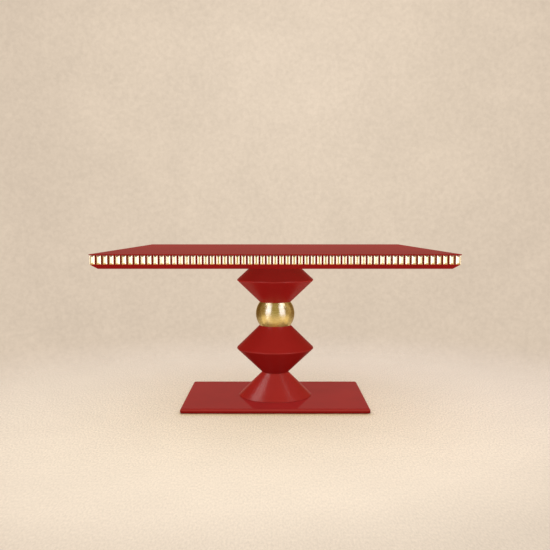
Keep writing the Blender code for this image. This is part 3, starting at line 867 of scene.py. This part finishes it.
# countersunk screws with a cross recess and a thread
screwSet = {
    "counts": {"plate": 8, "cone": 4, "base": 4},
    "head": 5 * mm,
    "headHeight": 3 * mm,
    "rim": 0.25 * mm,
    "shank": 2.5 * mm,
    "root": 1.9 * mm,
    "pitch": 2.0 * mm,
    "runIn": 0.5 * mm,
    "point": 5 * mm,
    "tip": 0.1 * mm,
    "plain": 0.35,  # share of the length without a thread
    "slack": 0.3 * mm,
    "steps": 40,
    "crossReach": 2.7 * mm,
    "crossWidth": 0.5 * mm,
    "crossFloor": 0.7 * mm,
    "crossOver": 0.5 * mm,
    "crossDepth": 1.8 * mm,
    "spin": 0.9,  # no two recesses stand alike
}


def screwNodes(kind):
    return ["%s_screw_%d" % (kind, number) for number in range(1, screwSet["counts"][kind] + 1)]


def addScrewHole(bm, screw, way, start, end):
    # way is 1 for a head at the bottom and -1 for one at the top
    s = screwSet
    low, high = heights(screw)
    face = low if way == 1 else high
    head = s["head"] + s["slack"]
    shank = s["shank"] + s["slack"]
    levels = [(head, start), (head, face), (shank, face + way * s["headHeight"]), (shank, end)]
    addPost(bm, middleOf(screw), levels, s["steps"])


def threadLevels(low, high, root, crest, pitch):
    levels = []
    count = int((high - low) / pitch)
    for i in range(count):
        levels += [(root, low + i * pitch), (crest, low + (i + 0.5) * pitch)]
    return levels + [(root, low + count * pitch)]


def makeCross():
    s = screwSet
    half = s["crossWidth"]
    cross = bmesh.new()
    loops = []
    for height, reach in ((-s["crossOver"], s["crossReach"]), (s["crossDepth"], s["crossFloor"])):
        loop = []
        for quarter in range(4):
            around = Matrix.Rotation(quarter * math.pi / 2, 3, "Z")
            for x, y in ((reach, -half), (reach, half), (half, half)):
                loop.append(cross.verts.new(around @ Vector((x, y, height))))
        loops.append(loop)
    joinRings(cross, loops)
    cross.faces.new(loops[0][::-1])
    cross.faces.new(loops[1])
    return cross


def makeScrew(length):
    s = screwSet
    threadLow = length * s["plain"]
    levels = [(s["head"] - s["rim"], 0), (s["head"], s["rim"])]
    levels += [(s["shank"], s["headHeight"]), (s["shank"], threadLow)]
    levels += threadLevels(threadLow + s["runIn"], length - s["point"], s["root"], s["shank"], s["pitch"])
    levels += [(s["tip"], length)]
    bm = bmesh.new()
    addPost(bm, (0, 0), levels, s["steps"])
    return carved(bm, makeCross())


def makeScrews():
    s = screwSet
    for kind in s["counts"]:
        low, high = heights(kind + "_screw_1")
        pattern = bpy.data.meshes.new("pattern")
        bm = makeScrew(high - low)
        bm.to_mesh(pattern)
        bm.free()
        for number, node in enumerate(screwNodes(kind), 1):
            low, high = heights(node)
            spot = middleOf(node)
            bm = bmesh.new()
            bm.from_mesh(pattern)
            place = Matrix.Translation((spot.x, spot.y, high if kind == "cone" else low))
            if kind == "cone":
                place = place @ Matrix.Rotation(math.pi, 4, "X")
            place = place @ Matrix.Rotation(number * s["spin"], 4, "Z")
            bmesh.ops.transform(bm, matrix=place, verts=bm.verts)
            addPiece("%sScrew_%d" % (kind, number), bm, "zinc_steel", [node])
        bpy.data.meshes.remove(pattern)
    print("screws: %d, cross recess" % sum(s["counts"].values()))


# tie rod with rolled threads, and its nuts and washers
rodSet = {
    "radius": 8 * mm,
    "root": 7 * mm,
    "pitch": 2 * mm,
    "threadLength": 44 * mm,
    "endBevel": 1 * mm,
    "bore": 8.3 * mm,
    "nutFlats": 24 * mm,
    "nutFace": 0.95,  # round face across the flats
    "nutChamfer": 30.0,
    "nutSharp": 24.0,
    "washer": 17 * mm,
    "arris": 0.4 * mm,
    "arrisSteps": 3,
    "steps": 48,
}


def makeRod():
    s = rodSet
    low, high = heights("tie_rod")
    bevel = s["endBevel"]
    lowerEnd = low + s["threadLength"]
    upperEnd = high - s["threadLength"]
    thread = (s["root"], s["radius"], s["pitch"])
    levels = [(s["root"], low)]
    levels += threadLevels(low + bevel, lowerEnd, *thread)
    levels += [(s["radius"], lowerEnd + bevel), (s["radius"], upperEnd - bevel)]
    levels += threadLevels(upperEnd, high - bevel, *thread)
    levels += [(s["root"], high)]
    bm = bmesh.new()
    addPost(bm, (0, 0), levels, s["steps"])
    addPiece("tieRod", bm, "zinc_steel", ["tie_rod"])
    for end in ("lower", "upper"):
        makeNut(end)
        makeWasher(end)
    print("tie rod: %.0f mm, two nuts and washers" % ((high - low) / mm))


def makeNut(end):
    s = rodSet
    low, high = heights(end + "_nut")
    half = s["nutFlats"] / 2
    face = half * s["nutFace"]
    bm = bmesh.new()
    rings = [[] for i in range(6)]
    for i in range(s["steps"]):
        angle = 2 * math.pi * i / s["steps"]
        toFlat = (angle + math.pi / 6) % (math.pi / 3) - math.pi / 6
        hexagon = half / math.cos(toFlat)
        drop = (hexagon - face) * math.tan(math.radians(s["nutChamfer"]))  # at the corners
        spots = ((s["bore"], low), (face, low), (hexagon, low + drop))
        spots += ((hexagon, high - drop), (face, high), (s["bore"], high))
        for ring, (radius, height) in zip(rings, spots):
            ring.append(bm.verts.new((radius * math.cos(angle), radius * math.sin(angle), height)))
    joinRings(bm, rings, closed=True)
    addPiece(end + "Nut", bm, "zinc_steel", [end + "_nut"], sharp=s["nutSharp"])


def makeWasher(end):
    s = rodSet
    low, high = heights(end + "_washer")
    ring = [(s["bore"], low, 0), (s["washer"], low, s["arris"])]
    ring += [(s["washer"], high, s["arris"]), (s["bore"], high, 0)]
    bm = turn(roundProfile(ring, s["arrisSteps"]), s["steps"])
    addPiece(end + "Washer", bm, "zinc_steel", [end + "_washer"])


# levelling glides: a nylon foot on a threaded stem, which screws out of an insert
glideSet = {
    "radius": 15 * mm,
    "bottomRound": 1.0 * mm,
    "topRound": 0.6 * mm,
    "footSteps": 4,
    "axisHole": 0.3 * mm,  # a spun shape stays open at its axis
    "socket": 4.3 * mm,
    "socketFloor": 3 * mm,
    "stem": 4 * mm,
    "root": 3.4 * mm,
    "pitch": 1.25 * mm,
    "insert": 6.5 * mm,
    "arris": 0.4 * mm,
    "arrisSteps": 3,
    "steps": 64,
}


def makeGlide(corner):
    s = glideSet
    arris = s["arris"]
    body = "glide_" + corner
    middle = middleOf("glide_foot_" + corner)
    spot = Matrix.Translation((middle.x, middle.y, 0))
    low, high = heights("glide_foot_" + corner)
    socketLow = low + s["socketFloor"]
    foot = [(s["axisHole"], low, 0), (s["radius"], low, s["bottomRound"]), (s["radius"], high, s["topRound"])]
    foot += [(s["socket"], high, arris), (s["socket"], socketLow, 0), (s["axisHole"], socketLow, 0)]
    bm = turn(roundProfile(foot, s["footSteps"]), s["steps"])
    bmesh.ops.transform(bm, matrix=spot, verts=bm.verts)
    addPiece("glideFoot_" + corner, bm, "black_nylon", ["glide_foot_" + corner], body)
    low, high = heights("glide_stem_" + corner)
    levels = [(s["root"], low)]
    levels += threadLevels(low + arris, high - arris, s["root"], s["stem"], s["pitch"])
    levels += [(s["root"], high)]
    bm = bmesh.new()
    addPost(bm, spot.translation, levels, s["steps"])
    addPiece("glideStem_" + corner, bm, "zinc_steel", ["glide_stem_" + corner], body)
    low, high = heights("glide_insert_" + corner)
    ring = [(s["socket"], low, arris), (s["insert"], low, arris)]
    ring += [(s["insert"], high, arris), (s["socket"], high, 0)]
    bm = turn(roundProfile(ring, s["arrisSteps"]), s["steps"])
    bmesh.ops.transform(bm, matrix=spot, verts=bm.verts)
    addPiece("glideInsert_" + corner, bm, "zinc_steel", ["glide_insert_" + corner])


makeTabletop()
for side in sides:
    makeRail(side)
    makeGildedRow(side)
    makeGround(side)
print("top edge: %d rails, %d blocks" % (len(sides), len(sides) * blockSet["count"]))
makePedestal()
makeBall()
makeBase()
makePlate()
makeScrews()
makeRod()
for corner in corners:
    makeGlide(corner)
print("glides: %d" % len(corners))

# studio: pale floor that runs out into a pale backdrop
studioSet = {
    "floor": (0.870, 0.790, 0.680),
    "floorRadius": 12.0,
    "floorSteps": 96,
    "blotches": (3.0, 8.0, 0.62, 0.4),
    "blotchStops": (0.30, 0.70),
    "blotchTone": 0.955,
    "grit": (150.0, 60.0, 1.0),
    "gritNoise": (1.0, 5.0, 0.65),
    "gritDepth": 0.28,
    "gritFade": (-1.2, -0.2),  # the floor is smoother in front and rougher from the middle back
    "gritFront": 0.38,
    "lightPoolMiddle": (-0.5, 0.6, 0.0),  # painted light pool: the floor's paint is darker away from here, as painted shade
    "lightPoolReach": (2.1, 2.55),
    "lightPoolEdge": 0.86,
    "fadeMiddle": (0.14, -0.72, 0.0),
    "fadeFrom": 0.35,
    "fadeTo": 3.1,
    "glow": (0.790, 0.655, 0.515),  # lit middle of the backdrop
    "backdrop": (0.745, 0.615, 0.480),
    # painted shade: the backdrop darker towards its edges
    "edges": (0.697, 0.572, 0.447),
    "glowWay": (0.02, 0.977, 0.213),
    "glowStops": (0.04, 0.22, 0.38),
    "mottle": ((14.0, 0.030), (180.0, 0.055)),  # (scale, depth) of the plaster's blotches, broad and fine
    "mottleNoise": (4.0, 0.6, 0.3),
    "roomLeft": (0.18, 0.100, 0.030),  # dim at the back, which the gold shows at its edges
    "roomRight": (0.28, 0.175, 0.075),
    "roomAcross": (-0.7, 0.7),
    "sides": (0.42, 0.32, 0.165),
    "front": (0.50, 0.44, 0.25),  # pale wall behind the camera
    "walls": {  # share at the front and at the back of a stretch, then where the stretch lies
        "sides": (1.0, 0.0, -0.4, 0.3),
        "front": (1.0, 0.0, -0.9, -0.4),
        "backdrop": (0.0, 1.0, 0.88, 0.96),
    },
}


def makeFloor():
    s = studioSet
    bm = bmesh.new()
    bmesh.ops.create_circle(bm, cap_ends=True, segments=s["floorSteps"], radius=s["floorRadius"])
    mesh = bpy.data.meshes.new("floor")
    bm.to_mesh(mesh)
    bm.free()
    floor = bpy.data.objects.new("floor", mesh)
    scene.collection.objects.link(floor)
    floor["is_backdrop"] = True
    material, tree, shader, place = newFinish("floorPaint")
    tree.nodes.remove(shader)
    blotches = noise(tree, place, *s["blotches"])
    dingy = tuple(c * s["blotchTone"] for c in s["floor"])
    paint = ramp(tree, blotches, s["blotchStops"], (dingy, s["floor"]))
    grit = noise(tree, stretched(tree, place, s["grit"]), *s["gritNoise"])
    grit = spread(tree, grit, 1.0 - s["gritDepth"], 1.0 + s["gritDepth"])
    rough = spread(tree, split(tree, place)["Y"], s["gritFront"], 1.0, *s["gritFade"])
    paint = mixColour(tree, rough, paint, grit, "MULTIPLY")
    # painted light pool: the paint darkens away from its middle
    away = distanceFrom(tree, place, s["lightPoolMiddle"])
    lightPool = spread(tree, away, 1.0, s["lightPoolEdge"], *s["lightPoolReach"])
    paint = mixColour(tree, 1.0, paint, lightPool, "MULTIPLY")
    limits = {"From Min": s["fadeFrom"], "From Max": s["fadeTo"]}
    fade = addNode(tree, "MapRange", {"interpolation_type": "SMOOTHSTEP"}, **limits)
    tree.links.new(distanceFrom(tree, place, s["fadeMiddle"]), fade.inputs["Value"])
    diffuse = addNode(tree, "BsdfDiffuse")
    tree.links.new(paint, diffuse.inputs["Color"])
    clear = addNode(tree, "BsdfTransparent")  # lets the backdrop take over
    whole = addNode(tree, "MixShader")
    tree.links.new(fade.outputs["Result"], whole.inputs["Fac"])
    tree.links.new(diffuse.outputs["BSDF"], whole.inputs[1])
    tree.links.new(clear.outputs["BSDF"], whole.inputs[2])
    tree.links.new(whole.outputs["Shader"], tree.nodes["Material Output"].inputs["Surface"])
    mesh.materials.append(material)
    floor.visible_diffuse = False  # the cards on the floor stand in for its bounce
    return floor


def makeSurround():
    s = studioSet
    world = bpy.data.worlds.new("studio")
    world.use_nodes = True
    scene.world = world
    tree = world.node_tree
    way = addNode(tree, "TexCoord").outputs["Generated"]
    parts = split(tree, way)
    across = spread(tree, parts["X"], 0.0, 1.0, *s["roomAcross"])
    room = mixColour(tree, across, (*s["roomLeft"], 1), (*s["roomRight"], 1))
    for wall, limits in s["walls"].items():
        room = mixColour(tree, spread(tree, parts["Y"], *limits), room, (*s[wall], 1))
    away = distanceFrom(tree, way, s["glowWay"])
    # painted light on the backdrop: lit in the middle, shaded towards the edges
    paper = ramp(tree, away, s["glowStops"], (s["glow"], s["backdrop"], s["edges"]))
    for scale, depth in s["mottle"]:
        blotches = noise(tree, way, scale, *s["mottleNoise"])
        blotches = spread(tree, blotches, 1.0 - depth, 1.0 + depth)
        paper = mixColour(tree, 1.0, paper, blotches, "MULTIPLY")
    path = addNode(tree, "LightPath")
    seen = mixColour(tree, path.outputs["Is Camera Ray"], room, paper)
    tree.links.new(seen, tree.nodes["Background"].inputs["Color"])


# soft boxes: bearing is from the camera's side of the table, positive to the right
softboxSet = {
    "left": {"bearing": -43.5, "width": 3.9},
    "right": {"bearing": 44.0, "width": 4.1},
    "distance": 6.5,
    "height": 8.6,
    "middle": 4.35,
    "glow": 1.15,
    "colour": (1.0, 1.0, 1.04),
    "goldColour": (0.94, 1.13, 2.6),  # cool, so that the gold's highlights come out white
}
# the ball alone shows these: high boxes, a strip by the left box's foot, pale cards on the floor
# and dim panels at both sides
ballLightSet = {
    "high": {"left": (-0.52, -0.18, 0.83), "right": (0.55, -0.19, 0.815)},
    "highDistance": 5.0,
    "highSize": (2.4, 2.6),
    "highGlow": 1.6,
    "highColour": (1.0, 1.15, 2.0),
    "strip": (-1.01, -1.03, 0.07),
    "stripSize": (0.34, 0.30),
    "stripGlow": 1.1,
    "card": (0.0, -0.30, 0.03),
    "cardSize": (1.0, 0.7),
    "cardGlow": 0.25,
    "sideCards": {"left": (-1.7, -0.9, 0.02), "right": (1.7, -0.9, 0.02)},
    "sideCardSize": (2.4, 1.8),
    "sideCardGlow": 0.44,
    "cardColour": (1.0, 0.83, 0.62),
    "panels": {"left": (-2.4, 0.34, 1.7), "right": (2.4, 0.34, 1.7)},
    "panelSize": (1.3, 3.4),
    "panelGlow": {"left": 0.09, "right": 0.28},
}
# the gilded blocks alone show these: boxes for their side facets, low pale cards for the outer flats
rowLightSet = {
    "boxes": {"left": -39.0, "right": 39.0},
    "boxWidth": 3.6,
    "boxGlow": 1.2,
    "cards": {"left": (-2.1, -5.6, 0.6), "right": (2.1, -5.6, 0.6)},
    "cardSize": (2.2, 1.6),
    "cardGlow": 1.2,
    "cardColour": (1.0, 1.12, 2.1),
}
# fills show in no reflection
fillSet = {
    "front": {"bearing": 0.0, "rise": 26.0, "glow": 3.0},
    "left": {"bearing": -80.0, "rise": 18.0, "glow": 3.3},
    "right": {"bearing": 80.0, "rise": 18.0, "glow": 3.1},
    "target": (0, 0, 0.4),
    "distance": 4.2,
    "size": (3.4, 1.5),
    "colour": (1.0, 0.96, 0.90),
}
# from above on what lies flat
skySet = {
    "spot": (0, 1.8, 3.6),
    "target": (0, 0.9, 0),
    "size": (8.0, 6.0),
    "glow": 1.5,
    "colour": (1.0, 0.99, 0.97),
}
# on the floor alone; the one behind lays the base plate's shadow to the front
washSet = {
    "over": {"spot": (-0.3, -0.7, 3.2), "size": (4.4, 3.4), "glow": 1.04, "colour": (1.0, 1.13, 0.59)},
    "behind": {"spot": (0, 9.0, 5.2), "size": (16.0, 6.0), "glow": 2.35, "colour": (1.0, 1.11, 1.53)},
    "shade": {"spot": (0, -0.9, 4.5), "size": (10.0, 10.0), "glow": 0.50, "colour": (1.0, 0.88, 1.315)},
    "target": (0, -0.3, 0),
}
# pale cards lying on the floor all round, which light the undersides
bounceSet = {
    "distance": 2.0,
    "size": (2.8, 1.3),
    "height": 10 * mm,
    "rails": 2.0,
    "others": 3.9,
    "colour": (1.0, 0.95, 0.88),
}
# small boxes that draw the two highlights down the foot
kickerSet = {
    "left": {"spot": (-1.06, 0.08, 1.47), "size": (0.60, 0.8), "glow": 2.1},
    "right": {"spot": (0.86, -0.10, 1.60), "size": (0.12, 0.3), "glow": 1.8},
    "target": (0, 0, 0.08),
    "colour": (1.0, 0.98, 0.96),
}


def addBoxLight(name, spot, target, size, glow, colour, onto, through=None, shows=True):
    light = bpy.data.lights.new(name, "AREA")
    light.shape = "RECTANGLE"
    light.size = size[0]
    light.size_y = size[1]
    light.energy = glow * math.pi * size[0] * size[1]
    light.color = colour
    lamp = bpy.data.objects.new(name, light)
    lamp.location = spot
    lamp.rotation_euler = (Vector(target) - Vector(spot)).to_track_quat("-Z", "Y").to_euler()
    lamp.visible_camera = False
    lamp.visible_glossy = shows
    lamp.light_linking.receiver_collection = onto
    lamp.light_linking.blocker_collection = through
    scene.collection.objects.link(lamp)


def addStandingBox(name, bearing, width, glow, colour, onto, through=None):
    s = softboxSet
    angle = math.radians(bearing)
    spot = (s["distance"] * math.sin(angle), -s["distance"] * math.cos(angle), s["middle"])
    addBoxLight(name, spot, (0, 0, s["middle"]), (width, s["height"]), glow, colour, onto, through)


def addFloorCard(name, spot, size, glow, colour, onto, through=None, shows=True):
    target = Vector(spot) + Vector((0, 0, 1))
    addBoxLight(name, spot, target, size, glow, colour, onto, through, shows)


def linkGroup(name, pieces, state):
    group = bpy.data.collections.new(name)
    for piece in pieces:
        group.objects.link(piece)
    for entry in group.collection_objects:
        entry.light_linking.link_state = state
    return group


# which pieces a lamp falls on, and which it passes through
groupSet = {"topMargin": 10 * mm}  # the top takes in the mounting plate under it


def makeGroups(floor):
    made = bpy.data.objects
    tabletop, base, foot, ball = (made[name] for name in ("tabletop", "basePlate", "footCone", "ballShell"))
    row = [made["blocks_" + side] for side in sides]
    rails = [made["rail_" + side] for side in sides]
    above = [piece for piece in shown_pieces() if piece not in (base, foot)]
    topLow = undersideHeight - groupSet["topMargin"]
    top = [piece for piece in above if min(corner[2] for corner in piece.bound_box) > topLow]
    # the ball shows the studio rather than its red neighbours
    for piece in top + [made["upperDoubleCone"], made["lowerDoubleCone"], base]:
        piece.visible_glossy = False
    return {
        "lacquer": linkGroup("onLacquer", [floor, ball] + row, "EXCLUDE"),
        "ball": linkGroup("onBall", [ball], "INCLUDE"),
        "row": linkGroup("onRow", row, "INCLUDE"),
        "upright": linkGroup("onUpright", [floor, tabletop, base], "EXCLUDE"),
        "flat": linkGroup("onFlat", [tabletop, base, foot], "INCLUDE"),
        "floor": linkGroup("onFloor", [floor], "INCLUDE"),
        "rails": linkGroup("onRails", rails, "INCLUDE"),
        "others": linkGroup("onOthers", rails + [floor], "EXCLUDE"),
        "foot": linkGroup("onFoot", [foot], "INCLUDE"),
        "throughTop": linkGroup("throughTop", top, "EXCLUDE"),
        "throughAbove": linkGroup("throughAbove", above, "EXCLUDE"),
        "throughAll": linkGroup("throughAll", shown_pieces() + [floor], "EXCLUDE"),
    }


def makeSoftboxes(groups):
    s = softboxSet
    for side in ("left", "right"):
        look = (s[side]["bearing"], s[side]["width"], s["glow"])
        addStandingBox("softbox_" + side, *look, s["colour"], groups["lacquer"], groups["throughTop"])
        addStandingBox("ballbox_" + side, *look, s["goldColour"], groups["ball"], groups["throughTop"])


def makeBallLights(groups):
    s = ballLightSet
    middle = middleOf("ball_shell")
    links = (groups["ball"], groups["throughAll"])
    for side, way in s["high"].items():
        spot = middle + Vector(way) * s["highDistance"]
        addBoxLight("highbox_" + side, spot, middle, s["highSize"], s["highGlow"], s["highColour"], *links)
    addBoxLight("strip", s["strip"], middle, s["stripSize"], s["stripGlow"], s["highColour"], *links)
    addFloorCard("card", s["card"], s["cardSize"], s["cardGlow"], s["cardColour"], *links)
    for side, spot in s["sideCards"].items():
        addFloorCard("sidecard_" + side, spot, s["sideCardSize"], s["sideCardGlow"], s["cardColour"], *links)
    for side, spot in s["panels"].items():
        glow = s["panelGlow"][side]
        addBoxLight("panel_" + side, spot, middle, s["panelSize"], glow, s["cardColour"], *links)


def makeRowLights(groups):
    s = rowLightSet
    onto = groups["row"]
    for side in ("left", "right"):
        look = (s["boxes"][side], s["boxWidth"], s["boxGlow"])
        addStandingBox("rowbox_" + side, *look, softboxSet["goldColour"], onto)
        spot = s["cards"][side]
        target = (0, 0, spot[2])
        addBoxLight("rowcard_" + side, spot, target, s["cardSize"], s["cardGlow"], s["cardColour"], onto)


def makeFills(groups):
    s = fillSet
    target = Vector(s["target"])
    for side in ("front", "left", "right"):
        bearing = math.radians(s[side]["bearing"])
        rise = math.radians(s[side]["rise"])
        level = math.cos(rise)
        way = Vector((math.sin(bearing) * level, -math.cos(bearing) * level, math.sin(rise)))
        spot = target + way * s["distance"]
        # the top shades the pedestal from the front one alone
        through = None if side == "front" else groups["throughTop"]
        addBoxLight("fill_" + side, spot, target, s["size"], s[side]["glow"], s["colour"],
                    groups["upright"], through, False)
    s = skySet
    addBoxLight("sky", s["spot"], s["target"], s["size"], s["glow"], s["colour"],
                groups["flat"], groups["throughAbove"], False)


def makeFloorLights(groups):
    s = washSet
    for name in ("over", "behind", "shade"):
        through = None if name == "shade" else groups["throughAbove"]
        addBoxLight("wash_" + name, s[name]["spot"], s["target"], s[name]["size"], s[name]["glow"],
                    s[name]["colour"], groups["floor"], through, False)
    s = bounceSet
    for side, turned in sides.items():
        spot = Matrix.Rotation(math.radians(turned), 3, "Z") @ Vector((0, -s["distance"], s["height"]))
        size = s["size"] if side in ("front", "back") else s["size"][::-1]
        for name in ("rails", "others"):
            title = "bounce_%s_%s" % (side, name)
            addFloorCard(title, spot, size, s[name], s["colour"], groups[name], None, False)


def makeKickers(groups):
    s = kickerSet
    for side in ("left", "right"):
        addBoxLight("kicker_" + side, s[side]["spot"], s["target"], s[side]["size"], s[side]["glow"],
                    s["colour"], groups["foot"], groups["throughAbove"])


def makeLights(floor):
    groups = makeGroups(floor)
    makeSoftboxes(groups)
    makeBallLights(groups)
    makeRowLights(groups)
    makeFills(groups)
    makeFloorLights(groups)
    makeKickers(groups)
    print("studio: floor, backdrop, %d lamps" % len(bpy.data.lights))


# camera: square frame, a little above the top and tipped down
cameraSet = {
    "sensor": 36.0,
    "lens": 46.96,
    "distance": 3.6259,
    "height": 0.8869,
    "tip": 3.982,
    "aside": -0.001,
}


def makeCamera():
    s = cameraSet
    data = bpy.data.cameras.new("camera")
    data.lens = s["lens"]
    data.sensor_width = s["sensor"]
    camera = bpy.data.objects.new("camera", data)
    camera.location = (s["aside"], -s["distance"], s["height"])
    camera.rotation_euler = (math.radians(90.0 - s["tip"]), 0, 0)
    scene.collection.objects.link(camera)
    scene.camera = camera


floor = makeFloor()
makeSurround()
makeLights(floor)
makeCamera()
scene.view_settings.view_transform = "Standard"
